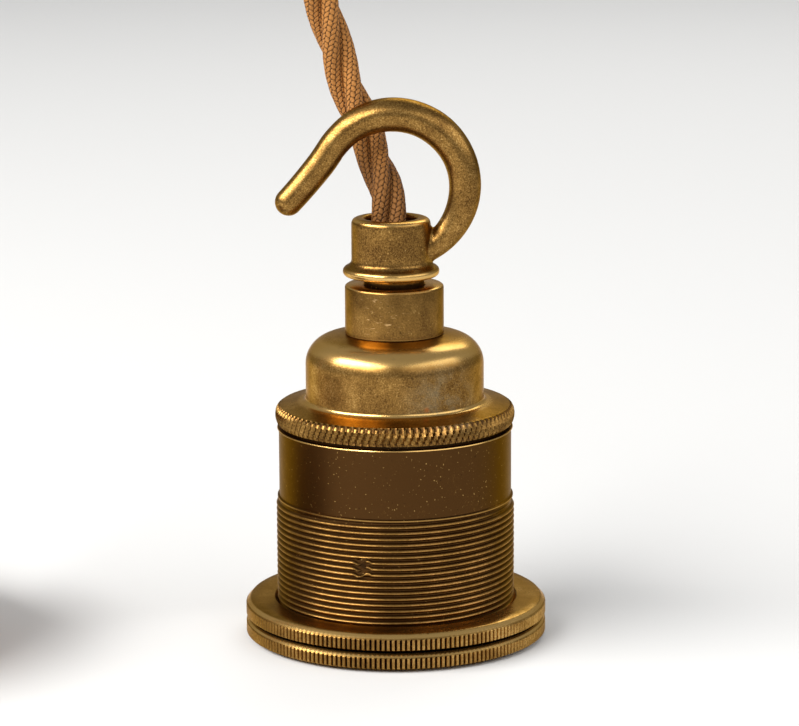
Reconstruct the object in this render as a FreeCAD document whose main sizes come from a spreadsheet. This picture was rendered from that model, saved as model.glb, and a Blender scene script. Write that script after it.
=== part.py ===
"""Screw-cap lamp holder with a hook, two shade rings and a twisted three-core flex.

The holder stands on the lower rim of its skirt. Its axis is Z, the hook lies in the XZ plane
with its tip towards -X, and every size is in millimetres.
"""
import FreeCAD, Part
import Sketcher

import math
import os

from FreeCAD import Placement, Rotation, Vector

doc = FreeCAD.newDocument("lamp_holder")
sheet = doc.addObject("Spreadsheet::Sheet", "sizes")

DRIVING_SIZES = {
    # skirt: the half-threaded outer tube
    "thread_outer": 19.8, "thread_length": 23.5, "thread_land": 0.4, "land_outer": 19.6,
    "skirt_outer": 19.29, "skirt_bore": 18.0, "band_length": 11.3,
    "lip_outer": 19.5, "lip_height": 0.3, "rim_chamfer": 0.4,
    "top_thread_outer": 18.6, "top_thread_length": 2.7,
    "bottom_lip_bore": 17.2, "bottom_lip_height": 0.8,
    "ledge_bore": 17.0, "ledge_height": 0.8, "ledge_depth": 3.6,
    # shade rings
    "ring_reach": 5.25, "ring_height": 2.95, "ring_chamfer": 0.8, "ring_thread_play": 0.07,
    "ring_above_rim": 0.4, "ring_spacing": 0.12,
    # cap
    "cap_gap": 0.6, "cap_wall": 0.7, "cap_thread_play": 0.1, "cap_rim_bottom": 19.4,
    "cap_rim_outer": 19.85, "cap_rim_bulge": 1.8, "cap_rim_top": 19.0, "cap_rim_height": 3.0,
    "cap_shelf_inner": 15.6, "cap_shelf_rise": 0.6, "cap_fillet_rise": 0.9, "cap_fillet": 0.99,
    "dome_outer": 14.74,
    "dome_height": 4.9, "crease_rise": 0.5, "shoulder_radius": 4.7, "shoulder_centre": 10.2,
    "dome_slope": 0.3,
    # neck bush
    "bush_outer": 8.15, "bush_length": 8.16, "bush_bore": 5.0, "bush_spigot_outer": 6.4,
    "bush_spigot_play": 0.1, "bush_edge": 0.25,
    # hook casting
    "neck_gap": 1.42, "spigot_outer": 4.95, "spigot_length": 7.0, "casting_shift": 0.5,
    "bead_outer": 8.0, "bead_height": 1.7, "bead_edge": 7.2, "collar_outer": 6.53, "collar_edge": 0.9,
    "collar_length": 8.0, "bead_fillet": 0.63, "cable_bore": 3.6, "mouth_bore": 4.35,
    "mouth_depth": 7.0, "hook_rise": 5.14, "hook_shift": 0.13, "hook_radius": 11.8,
    "rod_root": 2.15, "rod_side": 2.64, "rod_top": 2.81, "rod_arm": 2.4, "rod_tip": 2.26, "tip_swell": 0.04,
    "root_angle": 66.0, "arm_angle": 144.0, "arm_length": 11.9, "arm_flare": 6.8,
    # porcelain
    "base_play": 0.15, "base_boss_outer": 16.0, "base_boss_depth": 3.0, "base_top_outer": 13.2,
    "base_top_rise": 2.0, "pocket_width": 7.2, "pocket_depth": 3.6, "pocket_margin": 2.9,
    "ring_insert_play": 0.1, "ring_insert_gap": 0.2, "mouth_radius": 14.0, "mouth_edge": 0.6,
    # screw shell
    "shell_crest": 12.2, "shell_root": 13.15, "shell_wall": 0.4, "shell_pitch": 3.629,
    "shell_turns": 5, "shell_crest_width": 0.9, "shell_flange_bore": 6.0, "shell_skirt_outer": 15.2,
    # terminals and contact
    "terminal_radius": 9.5, "block_length": 6.0, "block_width": 5.0, "block_height": 6.0,
    "wire_hole": 1.2, "wire_height": 3.0, "screw_shank": 1.3, "screw_head": 2.0,
    "screw_head_height": 1.6, "screw_slot": 0.5, "screw_play": 0.05, "stud_radius": 1.2,
    "earth_stud_depth": 3.0, "stud_head": 1.9, "stud_head_height": 0.6,
    "contact_play": 0.5, "contact_thickness": 0.5, "contact_width": 4.6, "contact_root": 2.2,
    "contact_drop": 4.1, "contact_overrun": 2.6, "contact_lift": 1.2,
    # fixing screws of the screw shell
    "fixing_radius": 9.8, "fixing_angle": 135.0, "fixing_shank": 1.25, "fixing_head": 1.95,
    "fixing_head_height": 0.7, "fixing_play": 0.1, "fixing_stand": 2.4, "nut_radius": 2.3,
    "nut_height": 1.6,
    # flex
    "cord_radius": 3.1, "core_radius": 1.1, "core_offset": 1.7, "core_entry": 1.5,
    "cord_start": 1.0,
    # coil of the flex, its tie and its bare ends
    "coil_x": -103.7, "coil_y": -12.0, "coil_lift": 1.3, "coil_radius": 31.0, "coil_width": 12.6,
    "coil_height": 18.8, "coil_corner": 5.0, "tie_thickness": 0.8, "tie_play": 0.3,
    "tie_width": 6.0, "tie_angle": 205.0, "end_core_length": 24.0, "wire_radius": 0.6,
    "wire_length": 8.0, "end_core_bend": 12.0, "end_core_spacing": 2.6, "end_angle": 190.0,
    "inner_turn_radius": 27.9,
}

for row, (alias, number) in enumerate(DRIVING_SIZES.items(), start=1):
    sheet.set(f"A{row}", alias)
    sheet.set(f"B{row}", str(number))
    sheet.setAlias(f"B{row}", alias)
doc.recompute()


class Size:
    """A number with the expression that works it out from the sheet."""

    def __init__(self, number, text):
        self.number = number
        self.text = text

    @staticmethod
    def of(value):
        return value if isinstance(value, Size) else Size(float(value), repr(float(value)))

    def __add__(self, other):
        other = Size.of(other)
        return Size(self.number + other.number, f"({self.text} + {other.text})")

    def __sub__(self, other):
        other = Size.of(other)
        return Size(self.number - other.number, f"({self.text} - {other.text})")

    def __mul__(self, other):
        other = Size.of(other)
        return Size(self.number * other.number, f"({self.text} * {other.text})")

    def __truediv__(self, other):
        other = Size.of(other)
        return Size(self.number / other.number, f"({self.text} / {other.text})")

    def __neg__(self):
        return Size(-self.number, f"(0 - {self.text})")

    __radd__ = __add__
    __rmul__ = __mul__

    def __rsub__(self, other):
        return Size.of(other) - self


def cosine(angle):
    return Size(math.cos(math.radians(angle.number)), f"cos({angle.text} * 1 deg)")


def sine(angle):
    return Size(math.sin(math.radians(angle.number)), f"sin({angle.text} * 1 deg)")


def size(alias):
    return Size(float(sheet.get(alias)), f"sizes.{alias}")


# Heights of the stack, each one worked out from the piece below it.
SKIRT_THREAD_TOP = size("thread_length") + size("thread_land")
SKIRT_LIP = SKIRT_THREAD_TOP + size("band_length")
SKIRT_SHOULDER = SKIRT_LIP + size("lip_height")
SKIRT_TOP = SKIRT_SHOULDER + size("top_thread_length")
CAP_BOTTOM = SKIRT_SHOULDER + size("cap_gap")
CAP_RIM_TOP = CAP_BOTTOM + size("cap_rim_height")
CAP_LEDGE = CAP_RIM_TOP - size("cap_wall")
CAP_SHELF = CAP_RIM_TOP + size("cap_shelf_rise")
DOME_FOOT = CAP_SHELF + size("cap_fillet_rise")
CREASE = DOME_FOOT + size("dome_height")
SHOULDER_HEIGHT = CREASE + size("crease_rise")
DOME_TOP = SHOULDER_HEIGHT + size("shoulder_radius")
BUSH_SEAT = DOME_TOP + size("dome_slope")
BUSH_TOP = BUSH_SEAT + size("bush_length")
BEAD_BOTTOM = BUSH_TOP + size("neck_gap")
COLLAR_FOOT = BEAD_BOTTOM + size("bead_height") + size("bead_fillet")
COLLAR_TOP = BEAD_BOTTOM + size("bead_height") + size("collar_length")
HOOK_CENTRE = COLLAR_TOP + size("hook_rise")
LEDGE = SKIRT_SHOULDER - size("ledge_depth")
BASE_BOTTOM = LEDGE - size("base_boss_depth")
BASE_TOP = CAP_LEDGE + size("base_top_rise")
POCKET_TOP = BASE_BOTTOM + size("pocket_depth")
SHELL_TOP = BASE_BOTTOM - size("shell_wall")
SHELL_FOOT = SHELL_TOP - size("shell_pitch") * size("shell_turns")
RING_INSERT_TOP = SHELL_FOOT - size("shell_wall") - size("ring_insert_gap")
CORD_START = BUSH_SEAT + size("cord_start")


def turn_point(start, end, radius, side):
    """The middle point of an arc from start to end that bulges to its left (1) or right (-1)."""
    chord = end - start
    half = chord.Length / 2
    rise = radius - math.sqrt(max(radius * radius - half * half, 0.0))
    across = Vector(-chord.y, chord.x, 0).normalize()
    return start + chord * 0.5 + across * (rise * side)


def sketch_on(body, name, role, height=None, shift=None):
    """An empty sketch on one of the body's own origin planes, lifted off it if asked."""
    sketch = body.newObject("Sketcher::SketchObject", name)
    plane = [feature for feature in body.Origin.OriginFeatures if feature.Role == role][0]
    sketch.AttachmentSupport = [(plane, "")]
    sketch.MapMode = "FlatFace"
    if height is not None:
        sketch.setExpression("AttachmentOffset.Base.z", height.text)
    if shift is not None:
        sketch.setExpression("AttachmentOffset.Base.x", shift.text)
    return sketch


def tie_point(sketch, line, end, x, y):
    """Bind one point of a sketch to its two sizes."""
    for kind, axis, value in (("DistanceX", -2, x), ("DistanceY", -1, y)):
        if value.number == 0:
            sketch.addConstraint(Sketcher.Constraint("PointOnObject", line, end, axis))
            continue
        number = sketch.addConstraint(Sketcher.Constraint(kind, -1, 1, line, end, value.number))
        sketch.setExpression(f"Constraints[{number}]", value.text)


def outline(sketch, corners, closed=True):
    """An outline. A corner is (x, y), or (x, y, radius, side) where an arc starts there."""
    corners = [tuple(Size.of(value) for value in corner[:3]) + tuple(corner[3:]) for corner in corners]
    ends = []
    starts = corners if closed else corners[:-1]
    for place, corner in enumerate(starts):
        after = corners[(place + 1) % len(corners)]
        start = Vector(corner[0].number, corner[1].number, 0)
        end = Vector(after[0].number, after[1].number, 0)
        if len(corner) == 2:
            line = sketch.addGeometry(Part.LineSegment(start, end), False)
            ends.append((line, 1, 2))
            continue
        radius, side = corner[2], corner[3]
        middle = turn_point(start, end, radius.number, side)
        line = sketch.addGeometry(Part.Arc(start, middle, end), False)
        number = sketch.addConstraint(Sketcher.Constraint("Radius", line, radius.number))
        sketch.setExpression(f"Constraints[{number}]", radius.text)
        ends.append((line, 1, 2) if side < 0 else (line, 2, 1))
    for place, corner in enumerate(starts):
        line, first, _ = ends[place]
        before, _, last = ends[place - 1]
        if closed or place > 0:
            sketch.addConstraint(Sketcher.Constraint("Coincident", before, last, line, first))
        tie_point(sketch, line, first, corner[0], corner[1])
    if not closed:
        line, _, last = ends[-1]
        tie_point(sketch, line, last, corners[-1][0], corners[-1][1])
    return sketch


def circle(sketch, x, y, radius):
    """A circle bound to the sizes of its centre and radius."""
    x, y = Size.of(x), Size.of(y)
    centre = Vector(x.number, y.number, 0)
    line = sketch.addGeometry(Part.Circle(centre, Vector(0, 0, 1), radius.number), False)
    tie_point(sketch, line, 3, x, y)
    number = sketch.addConstraint(Sketcher.Constraint("Radius", line, radius.number))
    sketch.setExpression(f"Constraints[{number}]", radius.text)


def rectangle(sketch, left, right, low, high):
    outline(sketch, [(left, low), (right, low), (right, high), (left, high)])


def new_body(label):
    body = doc.addObject("PartDesign::Body", label)
    body.Label = label
    return body


def turned(body, name, corners, kind="PartDesign::Revolution", shift=None):
    """Turn an outline of (radius, height) corners about the vertical axis of its sketch."""
    sketch = sketch_on(body, f"{name}_outline", "XZ_Plane", shift=shift)
    outline(sketch, corners)
    turning = body.newObject(kind, name)
    turning.Profile = sketch
    turning.ReferenceAxis = (sketch, ["V_Axis"])
    turning.Angle = 360
    sketch.Visibility = False
    return turning


def raised(body, name, sketch, length, downwards=False, both_ways=False):
    pad = body.newObject("PartDesign::Pad", name)
    pad.Profile = sketch
    pad.setExpression("Length", length.text)
    pad.Reversed = downwards
    pad.Midplane = both_ways
    return pad


def cut(body, name, sketch, length=None, upwards=False):
    pocket = body.newObject("PartDesign::Pocket", name)
    pocket.Profile = sketch
    pocket.Reversed = upwards
    if length is None:
        pocket.Type = "ThroughAll"
        pocket.Midplane = True
    else:
        pocket.setExpression("Length", length.text)
    return pocket


def make_skirt():
    """The outer tube: threaded below, plain above, with a small thread for the cap at its top."""
    body = new_body("casing_skirt")
    thread, band, bore = size("thread_outer"), size("skirt_outer"), size("skirt_bore")
    top_thread, lip, land = size("top_thread_outer"), size("lip_outer"), size("land_outer")
    ledge, chamfer = size("ledge_bore"), size("rim_chamfer")
    ledge_foot = LEDGE - size("ledge_height")
    turned(body, "skirt_tube", [
        (size("bottom_lip_bore"), 0), (thread - chamfer, 0), (thread, chamfer),
        (thread, size("thread_length")), (land, SKIRT_THREAD_TOP), (band, SKIRT_THREAD_TOP),
        (band, SKIRT_LIP), (lip, SKIRT_LIP), (lip, SKIRT_SHOULDER), (top_thread, SKIRT_SHOULDER),
        (top_thread, SKIRT_TOP), (bore, SKIRT_TOP), (bore, LEDGE), (ledge, LEDGE),
        (ledge, ledge_foot), (bore, ledge_foot - (bore - ledge)), (bore, size("bottom_lip_height")),
        (size("bottom_lip_bore"), size("bottom_lip_height"))])
    return body


def make_shade_ring(label, bottom):
    """A shade ring: threaded bore, knurled edge and a chamfer round its upper edge."""
    body = new_body(label)
    bore = size("thread_outer") + size("ring_thread_play")
    outer = size("thread_outer") + size("ring_reach")
    height, chamfer = size("ring_height"), size("ring_chamfer")
    lead = chamfer / 2
    turned(body, f"{label}_blank", [
        (bore + lead, 0), (outer - lead / 2, 0), (outer, lead / 2), (outer, height - chamfer),
        (outer - chamfer, height), (bore + lead, height), (bore, height - lead), (bore, lead)])
    body.setExpression("Placement.Base.z", bottom.text)
    return body


def make_cap():
    """The spun cap: a knurled rim with the skirt's thread, a shelf, a wall and a domed shoulder."""
    body = new_body("cap_dome")
    wall, dome = size("cap_wall"), size("dome_outer")
    shoulder, centre = size("shoulder_radius"), size("shoulder_centre")
    inner_shoulder = shoulder - wall
    rim_bore = size("top_thread_outer") + size("cap_thread_play")
    hole = size("bush_spigot_outer") + size("bush_spigot_play")
    turned(body, "cap_shell", [
        (rim_bore, CAP_BOTTOM), (size("cap_rim_bottom"), CAP_BOTTOM),
        (size("cap_rim_outer"), CAP_BOTTOM + size("cap_rim_bulge")),
        (size("cap_rim_top"), CAP_RIM_TOP), (size("cap_shelf_inner"), CAP_SHELF, size("cap_fillet"), 1),
        (dome, DOME_FOOT), (dome, CREASE), (centre + shoulder, SHOULDER_HEIGHT, shoulder, -1),
        (centre, DOME_TOP), (size("bush_outer"), BUSH_SEAT), (hole, BUSH_SEAT),
        (hole, BUSH_SEAT - wall), (centre, DOME_TOP - wall, inner_shoulder, 1),
        (centre + inner_shoulder, SHOULDER_HEIGHT), (dome - wall, CREASE), (dome - wall, CAP_LEDGE),
        (rim_bore, CAP_LEDGE)])
    return body


def make_bush():
    """The turned bush on top of the cap, its spigot through the cap's hole."""
    body = new_body("neck_bush")
    outer, spigot, bore = size("bush_outer"), size("bush_spigot_outer"), size("bush_bore")
    edge = size("bush_edge")
    turned(body, "bush_blank", [
        (bore, BUSH_SEAT - size("cap_wall")), (spigot, BUSH_SEAT - size("cap_wall")),
        (spigot, BUSH_SEAT), (outer, BUSH_SEAT), (outer, BUSH_TOP - edge), (outer - edge, BUSH_TOP),
        (bore + edge, BUSH_TOP), (bore, BUSH_TOP - edge)])
    return body


def rod_station(along):
    """Centre, turn and radius of the hook's rod: 0 to 1 is its arc and 1 to 2 its arm."""
    start, end = -size("root_angle"), size("arm_angle")
    if along <= 1:
        angle = start + (end - start) * along
        x = size("hook_radius") * cosine(angle) - size("hook_shift")
        z = size("hook_radius") * sine(angle) + HOOK_CENTRE
        return x, z, angle
    arm = size("arm_length") * (along - 1)
    bend = size("arm_flare") * (along - 1)
    middle = end - bend / 2
    x = size("hook_radius") * cosine(end) - size("hook_shift") - arm * sine(middle)
    z = size("hook_radius") * sine(end) + HOOK_CENTRE + arm * cosine(middle)
    return x, z, end - bend


def rod_section(body, name, along, radius):
    """A round section of the rod, square to it."""
    x, z, angle = rod_station(along)
    sketch = sketch_on(body, name, "XY_Plane")
    sketch.AttachmentOffset = Placement(Vector(x.number, 0, z.number), Rotation(Vector(0, 1, 0), 1))
    sketch.setExpression("AttachmentOffset.Base.x", x.text)
    sketch.setExpression("AttachmentOffset.Base.z", z.text)
    sketch.setExpression("AttachmentOffset.Rotation.Angle", (-angle).text)
    circle(sketch, 0, 0, radius)
    sketch.Visibility = False
    return sketch


def make_hook():
    """One casting: threaded spigot, bead, collar and the tapering hook that grows out of it."""
    body = new_body("hook")
    collar, bead, bead_edge = size("collar_outer"), size("bead_outer"), size("bead_edge")
    edge, height = size("collar_edge"), size("bead_height")
    bead_top = BEAD_BOTTOM + height
    bulge = bead - bead_edge
    bead_radius = (height * height / 4 + bulge * bulge) / (bulge * 2)
    turned(body, "collar_blank", [
        (0, BEAD_BOTTOM), (bead_edge, BEAD_BOTTOM, bead_radius, -1), (bead_edge, bead_top),
        (collar, COLLAR_FOOT), (collar, COLLAR_TOP - edge, edge, -1), (collar - edge, COLLAR_TOP),
        (0, COLLAR_TOP)], shift=-size("casting_shift"))
    spigot, end = size("spigot_outer"), BEAD_BOTTOM - size("spigot_length")
    overlap = bead_top
    turned(body, "spigot_blank", [
        (0, end), (spigot - size("bush_edge"), end), (spigot, end + size("bush_edge")),
        (spigot, overlap), (0, overlap)])
    stations = [
        (0.0, size("rod_root")), (0.157, (size("rod_root") + size("rod_side")) / 2),
        (0.314, size("rod_side")), (0.46, (size("rod_side") + size("rod_top")) / 2),
        (0.60, size("rod_top")), (0.743, size("rod_top")),
        (0.87, (size("rod_top") + size("rod_arm")) / 2), (1.0, size("rod_arm"))]
    arm_steps = 4
    for step in range(1, arm_steps + 1):
        taper = (size("rod_tip") - size("rod_arm")) * step / arm_steps
        stations.append((1 + step / arm_steps, size("rod_arm") + taper))
    sections = [rod_section(body, f"rod_section_{place}", along, radius)
                for place, (along, radius) in enumerate(stations)]
    rod = body.newObject("PartDesign::AdditiveLoft", "rod")
    rod.Profile = sections[0]
    rod.Sections = sections[1:]
    rod.Ruled = False
    tip_x, tip_z, _ = rod_station(2.0)
    tip = body.newObject("PartDesign::AdditiveSphere", "rod_tip_ball")
    tip.setExpression("Placement.Base.x", tip_x.text)
    tip.setExpression("Placement.Base.z", tip_z.text)
    tip.setExpression("Radius", (size("rod_tip") + size("tip_swell")).text)
    mouth, shift = size("mouth_bore"), size("casting_shift")
    turned(body, "cable_mouth", [
        (0, COLLAR_TOP - size("mouth_depth")), (mouth, COLLAR_TOP - size("mouth_depth")),
        (mouth, COLLAR_TOP + size("rod_side")), (0, COLLAR_TOP + size("rod_side"))],
        kind="PartDesign::Groove", shift=-shift)
    bore = size("cable_bore")
    turned(body, "cable_hole", [
        (0, end), (bore, end), (bore, COLLAR_TOP), (0, COLLAR_TOP)], kind="PartDesign::Groove")
    return body


def make_porcelain_base():
    """The insulating body: it hangs on the skirt's ledge and is held down by the cap."""
    body = new_body("porcelain_base")
    outer = size("skirt_bore") - size("base_play")
    boss, top = size("base_boss_outer"), size("base_top_outer")
    turned(body, "base_blank", [
        (0, BASE_BOTTOM), (boss, BASE_BOTTOM), (boss, LEDGE), (outer, LEDGE), (outer, CAP_LEDGE),
        (top, CAP_LEDGE), (top, BASE_TOP), (0, BASE_TOP)])
    pocket = sketch_on(body, "contact_pocket_outline", "XY_Plane", height=BASE_BOTTOM)
    half = size("pocket_width") / 2
    rectangle(pocket, -half, size("terminal_radius") + size("pocket_margin"), -half, half)
    cut(body, "contact_pocket", pocket, size("pocket_depth"), upwards=True)
    holes = sketch_on(body, "stud_holes_outline", "XY_Plane")
    stud = size("stud_radius") + size("fixing_play")
    circle(holes, size("terminal_radius"), 0, stud)
    circle(holes, -size("terminal_radius"), 0, stud)
    screw = size("fixing_shank") + size("fixing_play")
    angle = size("fixing_angle")
    across, along = size("fixing_radius") * cosine(angle), size("fixing_radius") * sine(angle)
    circle(holes, across, along, screw)
    circle(holes, -across, -along, screw)
    cut(body, "stud_holes", holes)
    earth = sketch_on(body, "earth_hole_outline", "XY_Plane", height=BASE_TOP)
    circle(earth, 0, size("terminal_radius"), stud)
    cut(body, "earth_hole", earth, size("earth_stud_depth") + size("fixing_play"))
    return body


def make_porcelain_ring():
    """The mouth ring, which rests on the lip turned in at the skirt's foot."""
    body = new_body("porcelain_ring")
    outer, mouth = size("skirt_bore") - size("ring_insert_play"), size("mouth_radius")
    foot, edge = size("bottom_lip_height"), size("mouth_edge")
    turned(body, "ring_blank", [
        (mouth + edge, foot), (outer, foot), (outer, RING_INSERT_TOP), (mouth, RING_INSERT_TOP),
        (mouth, foot + edge)])
    return body


def make_screw_shell():
    """The rolled sheet thread that takes the lamp's cap, with its flared foot."""
    body = new_body("screw_shell")
    crest, root, wall = size("shell_crest"), size("shell_root"), size("shell_wall")
    pitch, flat = size("shell_pitch"), size("shell_crest_width") / 2
    turns = size("shell_turns")
    foot = SHELL_FOOT
    turned(body, "thread_turn", [
        (crest, foot), (crest, foot + flat), (root, foot + pitch / 2 - flat),
        (root, foot + pitch / 2 + flat), (crest, foot + pitch - flat), (crest, foot + pitch),
        (crest + wall, foot + pitch), (crest + wall, foot + pitch - flat),
        (root + wall, foot + pitch / 2 + flat), (root + wall, foot + pitch / 2 - flat),
        (crest + wall, foot + flat), (crest + wall, foot)])
    turn = body.Tip
    pattern = body.newObject("PartDesign::LinearPattern", "thread_turns")
    pattern.Originals = [turn]
    z_axis = [feature for feature in body.Origin.OriginFeatures if feature.Role == "Z_Axis"][0]
    pattern.Direction = (z_axis, [""])
    pattern.setExpression("Length", (pitch * (turns - 1)).text)
    pattern.setExpression("Occurrences", turns.text)
    body.Tip = pattern
    turned(body, "shell_foot", [
        (crest, foot - wall), (size("shell_skirt_outer"), foot - wall),
        (size("shell_skirt_outer"), foot), (crest, foot)])
    return body


def make_contact():
    """The springy tongue: its root is held by the live stud and its nose meets the lamp."""
    body = new_body("centre_contact")
    thick, root = size("contact_thickness"), size("contact_root")
    pivot, drop = size("terminal_radius"), size("contact_drop")
    top = POCKET_TOP - size("contact_play")
    nose, lift = size("contact_overrun"), size("contact_lift")
    sketch = sketch_on(body, "tongue_outline", "XZ_Plane")
    outline(sketch, [
        (pivot + root, top), (pivot - root, top), (0, top - drop), (-nose, top - drop + lift),
        (-nose, top - drop + lift - thick), (0, top - drop - thick), (pivot - root, top - thick),
        (pivot + root, top - thick)])
    raised(body, "tongue", sketch, size("contact_width"), both_ways=True)
    hole = sketch_on(body, "tongue_hole_outline", "XY_Plane")
    circle(hole, pivot, 0, size("stud_radius") + size("contact_play") * 0.6)
    cut(body, "tongue_hole", hole)
    return body


def make_terminal(label, degrees, stud_bottom, head=False):
    """A brass terminal block with a wire hole, a screw hole and the stud that fixes it."""
    body = new_body(label)
    length, width, height = size("block_length"), size("block_width"), size("block_height")
    away = size("terminal_radius")
    block = sketch_on(body, f"{label}_block_outline", "XY_Plane", height=BASE_TOP)
    rectangle(block, away - length / 2, away + length / 2, -width / 2, width / 2)
    raised(body, f"{label}_block", block, height)
    stud = sketch_on(body, f"{label}_stud_outline", "XY_Plane", height=BASE_TOP)
    circle(stud, away, 0, size("stud_radius"))
    raised(body, f"{label}_stud", stud, BASE_TOP - stud_bottom, downwards=True)
    if head:
        rivet = sketch_on(body, f"{label}_rivet_outline", "XY_Plane", height=stud_bottom)
        circle(rivet, away, 0, size("stud_head"))
        raised(body, f"{label}_rivet", rivet, size("stud_head_height"))
    wire = sketch_on(body, f"{label}_wire_outline", "YZ_Plane", height=away - length / 2)
    circle(wire, 0, BASE_TOP + size("wire_height"), size("wire_hole"))
    cut(body, f"{label}_wire_hole", wire, length / 2 + size("wire_hole"), upwards=True)
    screw = sketch_on(body, f"{label}_screw_outline", "XY_Plane", height=BASE_TOP + height)
    circle(screw, away, 0, size("screw_shank") + size("screw_play"))
    cut(body, f"{label}_screw_hole", screw, height - size("wire_height"))
    body.Placement = Placement(Vector(0, 0, 0), Rotation(Vector(0, 0, 1), degrees))
    return body


def make_terminal_screw(label, degrees):
    """A slotted cheese-head screw in a terminal block, its point on the wire."""
    body = new_body(label)
    away, top = size("terminal_radius"), BASE_TOP + size("block_height")
    head = sketch_on(body, f"{label}_head_outline", "XY_Plane", height=top)
    circle(head, away, 0, size("screw_head"))
    raised(body, f"{label}_head", head, size("screw_head_height"))
    shank = sketch_on(body, f"{label}_shank_outline", "XY_Plane", height=top)
    circle(shank, away, 0, size("screw_shank"))
    reach = size("block_height") - size("wire_height") - size("core_radius") - size("screw_play")
    raised(body, f"{label}_shank", shank, reach, downwards=True)
    slot = sketch_on(body, f"{label}_slot_outline", "XY_Plane", height=top + size("screw_head_height"))
    half = size("screw_slot") / 2
    reach = size("screw_head") + half
    rectangle(slot, away - reach, away + reach, -half, half)
    cut(body, f"{label}_slot", slot, size("screw_head_height") / 2)
    body.Placement = Placement(Vector(0, 0, 0), Rotation(Vector(0, 0, 1), degrees))
    return body


def fixing_places():
    angle = size("fixing_angle")
    across, along = size("fixing_radius") * cosine(angle), size("fixing_radius") * sine(angle)
    return [(across, along), (-across, -along)]


def make_shell_screws():
    """Two cheese-head screws that hold the screw shell's flange up against the porcelain."""
    body = new_body("shell_screws")
    heads = sketch_on(body, "fixing_head_outline", "XY_Plane", height=SHELL_TOP)
    shanks = sketch_on(body, "fixing_shank_outline", "XY_Plane", height=SHELL_TOP)
    slots = sketch_on(body, "fixing_slot_outline", "XY_Plane",
                      height=SHELL_TOP - size("fixing_head_height"))
    half, reach = size("screw_slot") / 2, size("fixing_head") + size("screw_slot")
    for across, along in fixing_places():
        circle(heads, across, along, size("fixing_head"))
        circle(shanks, across, along, size("fixing_shank"))
        rectangle(slots, across - reach, across + reach, along - half, along + half)
    raised(body, "fixing_heads", heads, size("fixing_head_height"), downwards=True)
    raised(body, "fixing_shanks", shanks, BASE_TOP + size("fixing_stand") - SHELL_TOP)
    cut(body, "fixing_slots", slots, size("fixing_head_height") / 2, upwards=True)
    return body


def make_shell_nuts():
    """The hexagon nuts on top of the porcelain."""
    body = new_body("shell_nuts")
    sketch = sketch_on(body, "nut_outline", "XY_Plane", height=BASE_TOP)
    sides = 6
    for across, along in fixing_places():
        corners = []
        for side in range(sides):
            turn = math.radians(360 * side / sides)
            corners.append((across + size("nut_radius") * math.cos(turn),
                            along + size("nut_radius") * math.sin(turn)))
        outline(sketch, corners)
        circle(sketch, across, along, size("fixing_shank") + size("screw_play"))
    raised(body, "nuts", sketch, size("nut_height"))
    return body


def make_core(label, degrees):
    """One of the flex's cores inside the cap, from the flex's end to its terminal."""
    body = new_body(label)
    offset, wire_height = size("core_offset"), BASE_TOP + size("wire_height")
    block_face = size("terminal_radius") - size("block_length") / 2
    bend = block_face - offset
    section = sketch_on(body, f"{label}_section", "XY_Plane", height=CORD_START)
    circle(section, offset, 0, size("core_radius"))
    path = sketch_on(body, f"{label}_path", "XZ_Plane")
    outline(path, [(offset, CORD_START), (offset, wire_height + bend, bend, -1),
                   (block_face, wire_height), (block_face + size("core_entry"), wire_height)],
            closed=False)
    pipe = body.newObject("PartDesign::AdditivePipe", f"{label}_wire")
    pipe.Profile = section
    pipe.Spine = path
    body.Placement = Placement(Vector(0, 0, 0), Rotation(Vector(0, 0, 1), degrees))
    return body


# The flex's route from the cap, out of the collar, behind the hook, over and down to the coil.
CORD_ROUTE = [
    (0.0, 0.0, CORD_START.number),
    (-0.2, 0.5, 71.5),
    (-3.9, 7.2, 81.8),
    (-8.0, 9.6, 91.5),
    (-10.6, 9.2, 101.0),
    (-13.4, 7.5, 112.0),
    (-19.0, 6.0, 125.0),
    (-29.5, 5.0, 137.5),
    (-44.0, 5.0, 144.0),
    (-58.5, 6.0, 141.5),
    (-69.5, 8.0, 131.5),
    (-74.3, 11.0, 117.0),
    (-74.5, 15.0, 97.0),
    (-73.3, 18.5, 74.0),
    (-71.9, 20.0, 54.0),
    (-71.1, 19.6, 36.0),
    (-70.6, 13.0, 23.6),
    (-70.0, 1.4, 17.0),
    (-69.6, -9.0, 17.0),
]
ARC_SHARE = 0.45


def rounded_route(points):
    """Straight runs joined by tangent arcs, each as large as its two runs allow."""
    points = [Vector(*point) for point in points]
    edges, start = [], points[0]
    for before, corner, after in zip(points, points[1:], points[2:]):
        incoming, outgoing = corner - before, after - corner
        turn = incoming.getAngle(outgoing)
        reach = ARC_SHARE * min(incoming.Length, outgoing.Length)
        radius = reach / math.tan(turn / 2)
        print(f"route at {corner.x:.1f}, {corner.y:.1f}, {corner.z:.1f}: radius {radius:.1f} mm")
        first = corner - incoming.normalize() * reach
        last = corner + outgoing.normalize() * reach
        inward = (first + last) * 0.5 - corner
        sink = radius / math.cos(turn / 2) - radius
        middle = corner + inward.normalize() * sink
        edges.append(Part.LineSegment(start, first).toShape())
        edges.append(Part.Arc(first, middle, last).toShape())
        start = last
    edges.append(Part.LineSegment(start, points[-1]).toShape())
    return Part.Wire(edges)


def tube_along(path, radius):
    """A round solid swept along a path, compared with its section times its length."""
    start = path.OrderedEdges[0]
    along = start.tangentAt(start.FirstParameter)
    section = Part.Wire(Part.makeCircle(radius, start.valueAt(start.FirstParameter), along))
    solid = path.makePipeShell([section], True, False)
    expected = math.pi * radius * radius * path.Length
    print(f"tube of {path.Length:.1f} mm: volume {solid.Volume:.1f}, expected {expected:.1f}")
    return solid


def make_feature(label, shape):
    feature = doc.addObject("Part::Feature", label)
    feature.Label = label
    feature.Shape = shape
    return feature


def coil_middle():
    return Vector(size("coil_x").number, size("coil_y").number, 0)


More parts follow.
